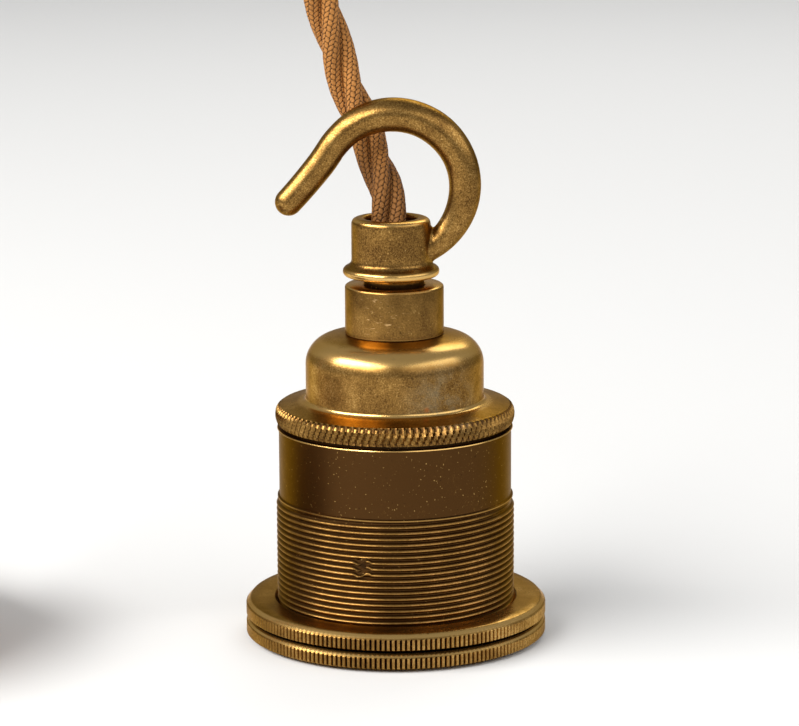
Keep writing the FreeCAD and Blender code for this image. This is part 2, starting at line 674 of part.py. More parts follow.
def place_at_coil(body, degrees=0):
    body.Placement = Placement(Vector(0, 0, 0), Rotation(Vector(0, 0, 1), degrees))
    body.setExpression("Placement.Base.x", "sizes.coil_x")
    body.setExpression("Placement.Base.y", "sizes.coil_y")


def rounded_section(middle, width, low, high, corner):
    """Corners of a rectangle with round corners."""
    left, right = middle - width / 2, middle + width / 2
    return [
        (left + corner, low), (right - corner, low, corner, -1), (right, low + corner),
        (right, high - corner, corner, -1), (right - corner, high), (left + corner, high, corner, -1),
        (left, high - corner), (left, low + corner, corner, -1)]


def make_coil():
    """The put-away length of the flex, as the ring that its turns fill."""
    body = new_body("cord_coil")
    low = size("coil_lift")
    turned(body, "coil_ring", rounded_section(
        size("coil_radius"), size("coil_width"), low, low + size("coil_height"),
        size("coil_corner")))
    place_at_coil(body)
    return body


def make_tie():
    """The tie that holds the coil's turns together."""
    body = new_body("cord_tie")
    play, thick = size("tie_play"), size("tie_thickness")
    low, high = size("coil_lift"), size("coil_lift") + size("coil_height")
    middle, width, corner = size("coil_radius"), size("coil_width"), size("coil_corner")
    sketch = sketch_on(body, "tie_outline", "XZ_Plane")
    outline(sketch, rounded_section(middle, width + play * 2, low - play, high + play, corner + play))
    outer = play + thick
    outline(sketch, rounded_section(middle, width + outer * 2, low - outer, high + outer, corner + outer))
    raised(body, "tie_loop", sketch, size("tie_width"), both_ways=True)
    place_at_coil(body, size("tie_angle").number)
    return body


def end_core_paths():
    """Each bare core curls off the innermost turn; its copper goes straight on."""
    angle = math.radians(size("end_angle").number)
    outward = Vector(math.cos(angle), math.sin(angle), 0)
    length, spacing = size("end_core_length").number, size("end_core_spacing").number
    height = size("coil_lift").number + size("core_radius").number
    cores, wires = [], []
    for place in (-1, 0, 1):
        bend = size("end_core_bend").number + spacing * place
        start_radius = size("inner_turn_radius").number + spacing * place
        centre = coil_middle() + outward * (start_radius - bend) + Vector(0, 0, height)
        turn = length / bend
        points = []
        for share in (0, 0.5, 1):
            heading = angle - turn * share
            points.append(centre + Vector(math.cos(heading), math.sin(heading), 0) * bend)
        cores.append(Part.Wire(Part.Arc(*points).toShape()))
        heading = angle - turn
        onward = Vector(math.sin(heading), -math.cos(heading), 0) * size("wire_length").number
        wires.append(Part.Wire(Part.LineSegment(points[2], points[2] + onward).toShape()))
    return cores, wires


def make_flex():
    """The free flex: its visible tube, its coil, the tie and the three bare ends."""
    tube = make_feature("cord_tube", tube_along(rounded_route(CORD_ROUTE), size("cord_radius").number))
    cores, wires = end_core_paths()
    ends = [make_feature(label, tube_along(path, size("core_radius").number))
            for label, path in zip(("end_core_live", "end_core_neutral", "end_core_earth"), cores)]
    copper = [tube_along(path, size("wire_radius").number) for path in wires]
    return [tube, make_coil(), make_tie(), *ends, make_feature("end_wires", Part.Compound(copper))]


def make_shell_flange():
    """The plate that the shell's upper edge is spun onto; the two fixing screws pass through it."""
    body = new_body("shell_flange")
    wall, outer = size("shell_wall"), size("shell_crest") + size("shell_wall")
    turned(body, "flange_plate", [
        (size("shell_flange_bore"), SHELL_TOP), (outer, SHELL_TOP),
        (outer, SHELL_TOP + wall), (size("shell_flange_bore"), SHELL_TOP + wall)])
    sketch = sketch_on(body, "flange_holes_outline", "XY_Plane", height=SHELL_TOP)
    for across, along in fixing_places():
        circle(sketch, across, along, size("fixing_shank") + size("fixing_play"))
    cut(body, "flange_holes", sketch, wall, upwards=True)
    return body


def build():
    lower = size("ring_above_rim")
    upper = lower + size("ring_height") + size("ring_spacing")
    places = {"live": 0, "earth": 90, "neutral": 180}
    head_bottom = POCKET_TOP - size("contact_play") * 2 - size("contact_thickness")
    stud_ends = {
        "live": head_bottom - size("stud_head_height"),
        "earth": BASE_TOP - size("earth_stud_depth"),
        "neutral": BASE_BOTTOM}
    parts = [
        make_skirt(), make_shade_ring("shade_ring_lower", lower),
        make_shade_ring("shade_ring_upper", upper), make_cap(), make_bush(), make_hook(),
        make_porcelain_base(), make_porcelain_ring(), make_screw_shell(),
        make_shell_flange(), make_contact(), make_shell_screws(), make_shell_nuts()]
    for name, degrees in places.items():
        parts.append(make_terminal(f"{name}_terminal", degrees, stud_ends[name], head=name == "live"))
        parts.append(make_terminal_screw(f"{name}_screw", degrees))
        parts.append(make_core(f"{name}_core", degrees))
    return parts + make_flex()


def check_and_write(parts):
    """Stop on a failed object or a bad shape, then write one file for each sub-part."""
    doc.recompute()
    failed = [item.Name for item in doc.Objects if {"Invalid", "Error"} & set(item.State)]
    if failed:
        raise RuntimeError(f"failed objects: {failed}")
    os.makedirs("parts", exist_ok=True)
    for part in parts:
        if part.Shape.isNull() or not part.Shape.isValid() or not part.Shape.Solids:
            raise RuntimeError(f"{part.Label} has no valid solid")
        part.Shape.exportStep(f"parts/{part.Label}.step")
        solids = len(part.Shape.Solids)
        print(f"{part.Label}: {solids} solid(s), {part.Shape.Volume:.1f} cubic mm")


check_and_write(build())
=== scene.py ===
# %% [markdown]
# # A brass lamp holder with a hook and a twisted flex
#
# The object hangs from its cast hook. Below the hook's collar come a turned bush, a spun cap with
# a knurled rim and a skirt that is threaded over its lower part, so that two knurled rings can
# clamp a shade. Three braided cores, twisted together, leave through the collar.
# The solids come from the loaded frame. Each of them gets a detailed piece or a finish here, in
# the same place and to the same size.

# %% Loading the frame
import math
import bpy
from mathutils import Matrix, Vector


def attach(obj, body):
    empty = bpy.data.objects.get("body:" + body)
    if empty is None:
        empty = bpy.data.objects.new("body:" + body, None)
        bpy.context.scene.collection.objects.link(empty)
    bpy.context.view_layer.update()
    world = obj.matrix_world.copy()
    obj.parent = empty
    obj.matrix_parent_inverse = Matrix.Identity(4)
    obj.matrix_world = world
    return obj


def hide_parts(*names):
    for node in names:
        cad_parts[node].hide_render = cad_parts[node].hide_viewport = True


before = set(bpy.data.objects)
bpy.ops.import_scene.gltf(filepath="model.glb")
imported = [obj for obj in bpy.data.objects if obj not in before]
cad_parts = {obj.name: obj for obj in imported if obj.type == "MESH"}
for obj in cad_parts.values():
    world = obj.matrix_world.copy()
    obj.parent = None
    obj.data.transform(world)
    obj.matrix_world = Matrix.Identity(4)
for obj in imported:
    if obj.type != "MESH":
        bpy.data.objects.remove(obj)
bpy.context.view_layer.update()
MM = 0.001
TURN = math.tau

# %% [markdown]
# ## The viewpoint
#
# A short lens close by would swell the nearest edges. A long lens from half a metre away keeps
# the rings' ovals flat. The camera looks down a little, and it is rolled by a quarter of a degree.

# %% The camera
CAMERA_PLACE = (0.8 * MM, -550 * MM, 159.62 * MM)
LENS_PITCH, LENS_ROLL = math.radians(78.315), math.radians(-0.267)
FOCAL_LENGTH, SENSOR = 153.0, 36
bpy.ops.object.camera_add(location=CAMERA_PLACE)
camera = bpy.context.object
camera.name = "viewpoint"
aim = Matrix.Rotation(LENS_PITCH, 3, "X") @ Matrix.Rotation(LENS_ROLL, 3, "Z")
camera.rotation_euler = aim.to_euler()
camera.data.lens, camera.data.sensor_width = FOCAL_LENGTH, SENSOR
camera.data.clip_start, camera.data.clip_end = 0.01, 20
bpy.context.scene.camera = camera
print("lens:", FOCAL_LENGTH, "mm")

# %% [markdown]
# ## Shader arithmetic
#
# A finish is easier to read as sums than as a web of nodes. `Socket` wraps one output of a node,
# and its operators add Math nodes. `Finish` holds one material, and its `node` method makes any
# node from its type, its settings and what goes into its sockets.

# %% A socket that can be added and multiplied
class Socket:
    def __init__(self, finish, output):
        self.finish, self.output = finish, output

    def maths(self, operation, first, second=0.0):
        return self.finish.node("ShaderNodeMath", {"operation": operation}, {0: first, 1: second})

    def __add__(self, other):
        return self.maths("ADD", self, other)

    def __sub__(self, other):
        return self.maths("SUBTRACT", self, other)

    def __rsub__(self, other):
        return self.maths("SUBTRACT", other, self)

    def __mul__(self, other):
        return self.maths("MULTIPLY", self, other)

    def __truediv__(self, other):
        return self.maths("DIVIDE", self, other)

    def __abs__(self):
        return self.maths("ABSOLUTE", self)

    __radd__, __rmul__ = __add__, __mul__

    def fraction(self):
        return self.maths("FRACT", self)

    def larger(self, other):
        return self.maths("MAXIMUM", self, other)

    def between(self, low, high):
        """0 below low, 1 above high, and a soft step from one to the other."""
        return self.finish.node("ShaderNodeMapRange", {"interpolation_type": "SMOOTHSTEP"},
                                {"Value": self, "From Min": low, "From Max": high})

# %% A material that is written as expressions
class Finish:
    def __init__(self, name, **fixed):
        self.material = bpy.data.materials.new(name)
        self.material.use_nodes = True
        self.tree = self.material.node_tree
        self.shader = self.tree.nodes["Principled BSDF"]
        for label, value in fixed.items():
            self.shader.inputs[label.replace("_", " ")].default_value = value
        self.place = self.node("ShaderNodeTexCoord", {}, {}, "Object")

    def feed(self, target, value):
        """Link a socket to the target, or set the target to a plain value."""
        if isinstance(value, Socket):
            self.tree.links.new(value.output, target)
        else:
            target.default_value = value

    def node(self, kind, settings, sockets, output=0):
        made = self.tree.nodes.new(kind)
        for label, value in settings.items():
            setattr(made, label, value)
        for label, value in sockets.items():
            self.feed(made.inputs[label], value)
        return Socket(self, made.outputs[output])

    def noise(self, scale, detail, rough, where=None, warp=0.0):
        return self.node("ShaderNodeTexNoise", {}, {
            "Vector": where or self.place, "Scale": scale, "Detail": detail, "Roughness": rough,
            "Distortion": warp})

    def stretched(self, x, y, z):
        """The place, pressed together along an axis, so that a pattern runs long the other way."""
        return self.node("ShaderNodeMapping", {}, {"Vector": self.place, "Scale": (x, y, z)})

    def mix(self, share, low, high):
        """The colour low where share is 0, and high where it is 1. Colours go in at 6 and 7."""
        return self.node("ShaderNodeMix", {"data_type": "RGBA"}, {0: share, 6: low, 7: high}, 2)

    def axis(self, label):
        return self.node("ShaderNodeSeparateXYZ", {}, {0: self.place}, label)

    def radius(self):
        """The distance from the upright axis, in mm."""
        flat = self.node("ShaderNodeVectorMath", {"operation": "MULTIPLY"},
                         {0: self.place, 1: (1, 1, 0)})
        return self.node("ShaderNodeVectorMath", {"operation": "LENGTH"}, {0: flat}, "Value") / MM

    def near(self, spot, reach):
        """1 at a spot, falling to 0 at reach from it, in mm."""
        gap = self.node("ShaderNodeVectorMath", {"operation": "DISTANCE"},
                        {0: self.place, 1: tuple(Vector(spot) * MM)}, "Value")
        return (1.0 - gap / (reach * MM)).between(0.0, 1.0)

    def wear(self, colour, roughness, height, depth, strength):
        """Feed what varies into the shader: colour, roughness, and relief of a depth in metres."""
        bump = self.node("ShaderNodeBump", {},
                         {"Strength": strength, "Distance": depth, "Height": height})
        for label, value in (("Base Color", colour), ("Roughness", roughness), ("Normal", bump)):
            self.feed(self.shader.inputs[label], value)
        return self.material


def rgb(red, green, blue):
    return (red, green, blue, 1.0)

# %% [markdown]
# ## Working in edit mode
#
# Almost every piece here was turned on a lathe. A stack of cylinders could copy its steps, but not
# its rounded corners. So the modelling follows the lathe: one corner of the outline is placed, the
# next ones are extruded from it, and the outline is spun about the axis.
# Everything is deselected first, because an operator acts on all that is selected.

# %% Picking pieces, smoothing them and applying modifiers
def start_clean():
    """Leave edit mode and deselect everything."""
    if bpy.context.object and bpy.context.object.mode != "OBJECT":
        bpy.ops.object.mode_set(mode="OBJECT")
    bpy.ops.object.select_all(action="DESELECT")


def pick(*pieces):
    """Select these pieces and nothing else, with the first of them active."""
    start_clean()
    for piece in pieces:
        piece.select_set(True)
    bpy.context.view_layer.objects.active = pieces[0]


def smooth(angle, *pieces):
    """Shade pieces smooth, but for edges that are sharper than an angle in degrees."""
    pick(*pieces)
    bpy.ops.object.shade_smooth_by_angle(angle=math.radians(angle))


def applied(piece, name, kind, **settings):
    """Add a modifier, set it and apply it."""
    modifier = piece.modifiers.new(name, kind)
    for label, value in settings.items():
        setattr(modifier, label, value)
    bpy.context.view_layer.objects.active = piece
    bpy.ops.object.modifier_apply(modifier=modifier.name)

# %% Spinning an outline
def drawn(name, outline, closed=True):
    """An outline of (radius, height) in mm, in the XZ plane, left open in edit mode."""
    start_clean()
    bpy.ops.mesh.primitive_plane_add(size=MM, location=(0, 0, 0))
    piece = bpy.context.object
    piece.name = piece.data.name = name
    bpy.ops.object.mode_set(mode="EDIT")
    bpy.ops.mesh.select_mode(type="VERT")
    bpy.ops.mesh.select_all(action="SELECT")
    bpy.ops.mesh.merge(type="CENTER")
    radius, height = outline[0]
    bpy.ops.transform.translate(value=(radius * MM, 0, height * MM))
    for here, there in zip(outline, outline[1:] + outline[:1] * closed):
        step = ((there[0] - here[0]) * MM, 0, (there[1] - here[1]) * MM)
        bpy.ops.mesh.extrude_region_move(TRANSFORM_OT_translate={"value": step})
    bpy.ops.mesh.select_all(action="SELECT")
    bpy.ops.mesh.remove_doubles(threshold=0.001 * MM)
    return piece


def turned(name, outline, steps=160, angle=30):
    """The outline spun about the axis, smooth but for edges sharper than angle."""
    piece = drawn(name, outline)
    bpy.ops.mesh.select_all(action="SELECT")
    bpy.ops.mesh.spin(steps=steps, angle=TURN, center=(0, 0, 0), axis=(0, 0, 1))
    bpy.ops.mesh.select_all(action="SELECT")
    bpy.ops.mesh.remove_doubles(threshold=0.002 * MM)
    bpy.ops.mesh.normals_make_consistent(inside=False)
    smooth(angle, piece)
    return piece


def arc(middle, height, radius, start, end, parts=8):
    """Points of a rounded edge, from one angle to another, in degrees."""
    angles = [math.radians(start + (end - start) * part / parts) for part in range(parts + 1)]
    return [(middle + radius * math.cos(a), height + radius * math.sin(a)) for a in angles]

# %% Drawing points in
def draw_in(piece, wanted, share):
    """Pull in the points that wanted(radius, turn, height) picks: mm, and a turn from 0 to 1."""
    pick(piece)
    for part in (*piece.data.vertices, *piece.data.edges, *piece.data.polygons):
        part.select = False
    picked = 0
    for vertex in piece.data.vertices:
        x, y, z = vertex.co / MM
        vertex.select = wanted(math.hypot(x, y), math.atan2(y, x) / TURN % 1.0, z)
        picked += vertex.select
    bpy.ops.object.mode_set(mode="EDIT")
    bpy.ops.mesh.select_mode(type="VERT")
    bpy.ops.transform.resize(value=(share, share, 1), center_override=(0, 0, 0))
    bpy.ops.object.mode_set(mode="OBJECT")
    print(f"{piece.name}: {picked} points drawn in")

# %% Finishing a piece
def finish_piece(piece, material, nodes=(), body="holder"):
    """Give a piece its material, its body and the solids that it stands for."""
    piece.data.materials.clear()
    piece.data.materials.append(material)
    for face in piece.data.polygons:
        face.material_index = 0
    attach(piece, body)
    if nodes:
        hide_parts(*nodes)
    triangles = sum(len(face.vertices) - 2 for face in piece.data.polygons)
    print(f"{piece.name}: {triangles} triangles")

# %% [markdown]
# ## Old brass
#
# Brass that hangs for years turns brown, and stays golden where hands and cloths rub it. A painted
# texture could show this, but layered noise works on every piece at once: a slow drift, cloudy
# blotches and a fine sandy grain. Bright rings of painted highlight are added by height, on edges
# where the brass is also rubbed, because a turned piece catches light in rings. Grooves are darker
# near their bottom, by tarnish and painted shade, which is told from the distance to the axis, and
# painted shade darkens the gaps between parts.

# %% The patina
GOLD, BRONZE, BROWN = rgb(0.66, 0.41, 0.135), rgb(0.28, 0.150, 0.038), rgb(0.075, 0.034, 0.010)
# The darkest colour paints small stains, and also painted shade in gaps and in the punch mark.
SOOT_AND_SHADE, EDGE_TINT = rgb(0.018, 0.010, 0.005), rgb(0.80, 0.62, 0.42)
# Noise scales: from a drift as wide as a piece to a grain of a quarter of a millimetre.
DRIFT, BLOTCH, SPECK, GLINT, GRAIN = 42, 260, 1150, 2400, 4200
GLOSS, RELIEF, ANYWHERE = 0.20, 0.016 * MM, 99.0


def old_brass(name, rubbed, rings=(), groove=(), shade=(), light=GOLD, sand=0.5, grainy=0.55,
              marks=None, within=ANYWHERE):
    """rings and shade are (height, spread, strength), groove is (bottom, top) radius, all in mm.

    Rings are painted highlights on edges and rounded faces, where the brass is also rubbed, and
    shade is painted shade in the gaps between parts, both only within a distance from the axis. A
    groove is darkened near its bottom radius, by tarnish and painted shade. The surface further
    inside is a flat face, and stays bright.
    """
    look = Finish(name, Metallic=1.0, Specular_Tint=EDGE_TINT)
    drift, blotch = look.noise(DRIFT, 3, 0.5), look.noise(BLOTCH, 5, 0.7, warp=0.3)
    grain, speck = look.noise(GRAIN, 2, 0.7), look.noise(SPECK, 2, 0.6)
    uneven = (drift - 0.5) * 0.7 + (blotch - 0.5) * 0.55 + (grain - 0.5) * grainy
    bright = (rubbed + uneven).between(0.0, 1.0)
    height, radius = look.axis("Z") / MM, look.radius()
    inside = (within - radius).between(0.0, 0.3)
    # Tarnish and painted shade: the grooves darken towards their bottom radius.
    if groove:
        bottom, top = groove
        crest = radius.between(bottom, top).larger((bottom - 0.12 - radius).between(0.0, 0.1))
        bright = bright * (0.2 + crest * 0.8)
    # Painted highlights in rings by height, on edges and rounded faces that are also rubbed.
    for level, spread, strength in rings:
        band = (1.0 - abs(height - level) / spread).between(0.0, 1.0)
        bright = bright.larger(band * inside * strength * (0.7 + blotch * 0.6))
    coat = look.mix(bright.between(0.05, 0.62), BROWN, BRONZE)
    coat = look.mix(bright.between(0.5, 1.0), coat, light)
    # Painted shade in the gaps between parts.
    for level, spread, strength in shade:
        band = (1.0 - abs(height - level) / spread).between(0.0, 0.5)
        coat = look.mix(band * inside * strength, coat, SOOT_AND_SHADE)
    if marks:
        coat = marks(look, coat, blotch)
    stain = speck.between(0.66, 0.78) * 0.6
    coat = look.mix(stain, coat, SOOT_AND_SHADE)
    glint = look.noise(GLINT, 1, 0.5).between(0.70, 0.78) * 0.5
    coat = look.mix(glint, coat, light)
    gloss = GLOSS + 0.13 * (1.0 - bright) + 0.07 * grain + stain * 0.15
    return look.wear(coat, gloss, grain * 0.6 + speck * 0.4, RELIEF, sand)

# %% [markdown]
# ## The skirt
#
# The skirt is a tube with a thread rolled into its lower part. Cutting the thread out of the tube
# with a Boolean would leave ragged faces. Instead the tube is turned first, and the thread is one
# tooth, drawn as an outline and wound upwards by a Screw modifier. Its two ends are pulled into
# the tube, so that it runs out as a cut thread does.

# %% The tube
ROOT, CREST, BAND = 19.28, 19.80, 19.29
skirt_outline = [
    (17.2, 0), (19.1, 0), (ROOT, 0.25), (ROOT, 23.35), (19.6, 23.6), (19.6, 23.85), (19.5, 23.95),
    (BAND, 24.05), (BAND, 24.6), (BAND, 29.0), (BAND, 34.6), (BAND, 35.15), (19.5, 35.2),
    (19.56, 35.3), (19.5, 35.45), (19.4, 35.5), (18.6, 35.5), (18.6, 38.2), (18.0, 38.2),
    (18.0, 31.9), (17.0, 31.9), (17.0, 31.1), (18.0, 30.1), (18.0, 0.8), (17.2, 0.8)]
skirt = turned("skirt", skirt_outline, steps=192, angle=35)

# %% The thread
THREAD_FOOT, THREAD_TURNS, STEPS = 0.5, 22, 256
RUN_OUT, SUNK = 38, ROOT - 0.1
tooth = [(ROOT - 0.04, 0), (19.42, 0.2), (CREST - 0.05, 0.38), (CREST, 0.5), (CREST - 0.05, 0.62),
         (19.42, 0.8), (ROOT - 0.04, 1.0)]
thread = drawn("thread", [(radius, height + THREAD_FOOT) for radius, height in tooth], closed=False)
start_clean()
applied(thread, "winding", "SCREW", screw_offset=MM, iterations=THREAD_TURNS, steps=STEPS,
        render_steps=STEPS)
last = len(thread.data.vertices) // len(tooth) - 1
for number, vertex in enumerate(thread.data.vertices):
    station = number // len(tooth)
    share = min(1.0, station / RUN_OUT, (last - station) / RUN_OUT)
    radius = math.hypot(vertex.co.x, vertex.co.y) / MM
    wanted = SUNK + (radius - SUNK) * share
    vertex.co.x *= wanted / radius
    vertex.co.y *= wanted / radius
print("thread stations:", last + 1)

# %% [markdown]
# The skirt was staked once with a punch: a small square dent, where the ridges are pushed in and
# aside. Bump in the finish would vanish at the outline, so the finished thread is really pressed:
# a soft hollow with an upright slot.

# %% The punch mark
DENT_TURN, DENT_HEIGHT, DENT_SIZE, DENT_DEPTH = math.radians(-105.6), 15.9, 1.75, 0.10
SLOT_WIDTH, SLOT_HEIGHT, SLOT_RISE, SLOT_DEPTH = 0.55, 1.5, 0.3, 0.85
RIDGE_PUSH, RIDGE_WAVE = 0.34, 2.0


def punched(vertex):
    """Press a vertex in, deepest along the mark's upright slot, and push the ridges aside."""
    x, y, z = vertex.co / MM
    across = (math.atan2(y, x) - DENT_TURN) * CREST
    up = z - DENT_HEIGHT
    reach = max(abs(across), abs(up)) / DENT_SIZE
    if reach < 1.0:
        edge = min(1.0, (1.0 - reach) * 3.0)
        upright = max(0.0, 1.0 - abs(up - SLOT_RISE) / SLOT_HEIGHT) ** 0.5
        slot = max(0.0, 1.0 - abs(across) / SLOT_WIDTH) * upright
        radius = math.hypot(x, y)
        share = (radius - edge * DENT_DEPTH - slot * SLOT_DEPTH) / radius
        vertex.co.x *= share
        vertex.co.y *= share
        vertex.co.z += edge * RIDGE_PUSH * math.sin(across * RIDGE_WAVE) * MM


for vertex in thread.data.vertices:
    punched(vertex)
smooth(50, thread, skirt)

# %% [markdown]
# ## The shade rings
#
# Two rings clamp a shade between them on the thread. Their knurl is pressed in. Cutting each
# groove would take hundreds of operations, so one column of points in four is drawn in, which
# leaves straight flat teeth with narrow grooves, like those of a coin.

# %% Knurled rings
RING_TEETH, COLUMNS, RING_OUTER, RING_BORE, RING_HEIGHT = 192, 4, 25.05, 19.87, 2.95
RING_GROOVE = 0.9835


def shade_ring(name, foot):
    top = foot + RING_HEIGHT
    blank = turned(name, [
        (RING_BORE + 0.4, foot), (24.3, foot), (24.6, foot + 0.1), (RING_OUTER, foot + 0.36),
        (RING_OUTER, top - 0.95), (24.97, top - 0.84), (24.30, top - 0.12), (24.05, top),
        (22.6, top), (RING_BORE + 0.4, top), (RING_BORE, top - 0.4), (RING_BORE, foot + 0.4)],
        steps=RING_TEETH * COLUMNS)

    def in_groove(radius, turn, height):
        column = round(turn * RING_TEETH * COLUMNS)
        return radius > RING_OUTER - 0.02 and column % COLUMNS == 0

    draw_in(blank, in_groove, RING_GROOVE)
    smooth(30, blank)
    return blank


lower_ring = shade_ring("shade_ring_low", 0.4)
upper_ring = shade_ring("shade_ring_high", 3.47)

# %% [markdown]
# ## The cap
#
# The cap is spun from sheet: a rim with a knurled bead, a flat shelf, an upright wall and a domed
# shoulder that leads up to the bush. It is turned as one outline with both sides of the sheet,
# which keeps the wall even. Its knurl leans a little, as if it was rolled in a hurry, so the
# column that is drawn in shifts with the height.

# %% The spun shell
cap_outline = [
    (18.7, 36.1), (19.4, 36.1), (19.66, 36.5), (19.82, 37.1), (19.85, 37.7), (19.76, 38.3),
    (19.5, 38.8), (19.05, 39.1), (18.4, 39.2), (17.2, 39.4), (16.2, 39.62),
    *arc(15.55, 40.55, 0.82, -90, -180, 6), (14.74, 42.0), (14.74, 44.0), (14.74, 45.5),
    *arc(10.05, 46.0, 4.69, 0, 84, 14), (10.0, 50.72), (9.2, 50.85), (8.15, 51.0), (6.5, 51.0),
    (6.5, 50.3), (10.2, 50.0), *arc(10.2, 46.0, 4.0, 90, 0, 6), (14.04, 45.5), (14.04, 38.4),
    (18.7, 38.4)]
CAP_TEETH, CAP_GROOVE, LEAN = 106, 0.980, 1.3
KNURL_INSIDE, KNURL_FOOT, KNURL_TOP = 19.3, 36.3, 38.9
cap = turned("cap", cap_outline, steps=CAP_TEETH * COLUMNS, angle=40)


def in_leaning_groove(radius, turn, height):
    column = round(turn * CAP_TEETH * COLUMNS - height * LEAN)
    return radius > KNURL_INSIDE and KNURL_FOOT < height < KNURL_TOP and column % COLUMNS in (0, 3)


draw_in(cap, in_leaning_groove, CAP_GROOVE)
smooth(28, cap)

# %% [markdown]
# ## The bush
#
# The bush is a plain turned block that takes the hook's spigot. Its edges are barely broken, so
# they are drawn as short slopes in the outline, which costs less than a bevel. Its thin upper edge
# shines.

# %% The turned bush
bush = turned("bush", [
    (5.0, 50.3), (6.4, 50.3), (6.4, 51.0), (8.0, 51.0), (8.15, 51.15), (8.15, 58.75), (8.08, 58.98),
    (7.85, 59.16), (5.25, 59.16), (5.0, 58.9)], steps=128, angle=40)

# %% [markdown]
# ## The hook
#
# The hook is one casting. Separate tubes for its rod and collar would meet in a hard line. So a
# copy of its solid is remeshed into small even faces and smoothed, which melts the corners together
# as sand casting does. Its arm is then trued into a round, evenly tapering rod.

# %% The casting
CASTING_FACE, SMOOTHINGS = 0.28, 6


def copied(name, node):
    """A copy of a solid's mesh, with its loose triangles merged and its stored normals dropped."""
    piece = bpy.data.objects.new(name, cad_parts[node].data.copy())
    bpy.context.collection.objects.link(piece)
    piece.data.name = name
    pick(piece)
    bpy.ops.object.mode_set(mode="EDIT")
    bpy.ops.mesh.select_all(action="SELECT")
    bpy.ops.mesh.remove_doubles(threshold=0.002 * MM)
    bpy.ops.object.mode_set(mode="OBJECT")
    bpy.ops.mesh.customdata_custom_splitnormals_clear()
    return piece


hook = copied("hook_casting", "hook")
applied(hook, "even faces", "REMESH", mode="VOXEL", voxel_size=CASTING_FACE * MM)
applied(hook, "melted corners", "SMOOTH", factor=0.5, iterations=SMOOTHINGS)

# %% Truing the arm
ARM_START, ARM_HEADING, ARM_BEND, ARM_LENGTH = Vector((-9.68, 0, 82.08)), 144.0, -6.8, 11.9
ARM_RADII, STATIONS, ARM_BLEND = (2.4, 2.26), 60, 0.3
ARM_SIDE, ARM_FLOOR = -8.5, 68


def arm_point(share):
    """The middle of the hook's arm, from its start at 0 to the middle of its round tip at 1."""
    heading = math.radians(ARM_HEADING + ARM_BEND * share / 2)
    return ARM_START + Vector((-math.sin(heading), 0, math.cos(heading))) * ARM_LENGTH * share


stations = [arm_point(number / STATIONS) for number in range(STATIONS + 1)]
spread = []
for vertex in hook.data.vertices:
    place = vertex.co / MM
    if place.x > ARM_SIDE or place.z < ARM_FLOOR:
        continue
    number = min(range(STATIONS + 1), key=lambda n: (place - stations[n]).length_squared)
    out = place - stations[number]
    if 0 < number < STATIONS:
        ahead = (stations[number + 1] - stations[number - 1]).normalized()
        out -= ahead * out.dot(ahead)
    share = number / STATIONS
    wanted = ARM_RADII[0] + (ARM_RADII[1] - ARM_RADII[0]) * share
    if number:
        spread.append(out.length - wanted)
        vertex.co += out.normalized() * (wanted - out.length) * min(1.0, share / ARM_BLEND) * MM
print("arm was off by", round(min(spread), 2), "to", round(max(spread), 2), "mm")
pick(hook)
bpy.ops.object.shade_smooth()

# %% [markdown]
# ## Inside the skirt
#
# The porcelain, the contact, the terminals and their screws are seen from below. They could be
# modelled again, but the solids already have their shapes. So each is a copy, merged and shaded
# smooth up to its real corners.

# %% Inner pieces
def inner(name, node):
    piece = copied(name, node)
    smooth(32, piece)
    return piece


inner_pieces = {node: inner(f"{node}_piece", node) for node in (
    "porcelain_base", "porcelain_ring", "shell_flange", "centre_contact", "live_terminal",
    "neutral_terminal", "earth_terminal", "live_screw", "neutral_screw", "earth_screw",
    "shell_screws", "shell_nuts", "live_core", "neutral_core", "earth_core", "cord_tie",
    "end_core_live", "end_core_neutral", "end_core_earth", "end_wires")}
print("inner pieces:", len(inner_pieces))

# %% [markdown]
# The lamp's thread is rolled into thin sheet, so both sides of the wall wave together. A Screw
# modifier would leave open ends at the mouth and the flange. Instead a tube with many rows is
# turned, and each row is moved in or out by how far the spiral has climbed there.

# %% The screw shell
SHELL_FOOT, SHELL_TOP, SHELL_WALL, SHELL_INNER, SHELL_BRIM = 10.355, 28.5, 0.4, 12.675, 15.2
PITCH, WAVE, FLATTENED, ROWS = 3.629, 0.475, 1.4, 44
rows = [SHELL_FOOT + (SHELL_TOP - SHELL_FOOT) * row / ROWS for row in range(ROWS + 1)]
shell = turned("screw_shell_piece", [
    (SHELL_INNER - WAVE, SHELL_FOOT - SHELL_WALL), *((SHELL_INNER, row) for row in rows),
    *((SHELL_INNER + SHELL_WALL, row) for row in reversed(rows)), (SHELL_BRIM, SHELL_FOOT),
    (SHELL_BRIM, SHELL_FOOT - SHELL_WALL)], steps=96, angle=50)
for vertex in shell.data.vertices:
    x, y, z = vertex.co / MM
    radius = math.hypot(x, y)
    if SHELL_FOOT <= z and radius < SHELL_BRIM - 1.2:
        climb = (z - SHELL_FOOT) / PITCH - math.atan2(y, x) / TURN
        ends = min(1.0, (z - SHELL_FOOT) / 1.0, (SHELL_TOP - z) / 1.0)
        wave = max(-1.0, min(1.0, FLATTENED * math.cos(TURN * climb))) * ends + ends - 1.0
        share = (radius - WAVE * wave) / radius
        vertex.co.x *= share
        vertex.co.y *= share
inner_pieces["screw_shell"] = shell

# %% [markdown]
# ## The flex
#
# Three braided cores are twisted together. The route is a short list of places, and the line is
# the smooth NURBS curve that they guide. The put-away length is wound into a flat round coil. Its
# turns fill six places of its section, two side by side and three high, and a turn moves to the
# next place only after the one ahead of it has left.

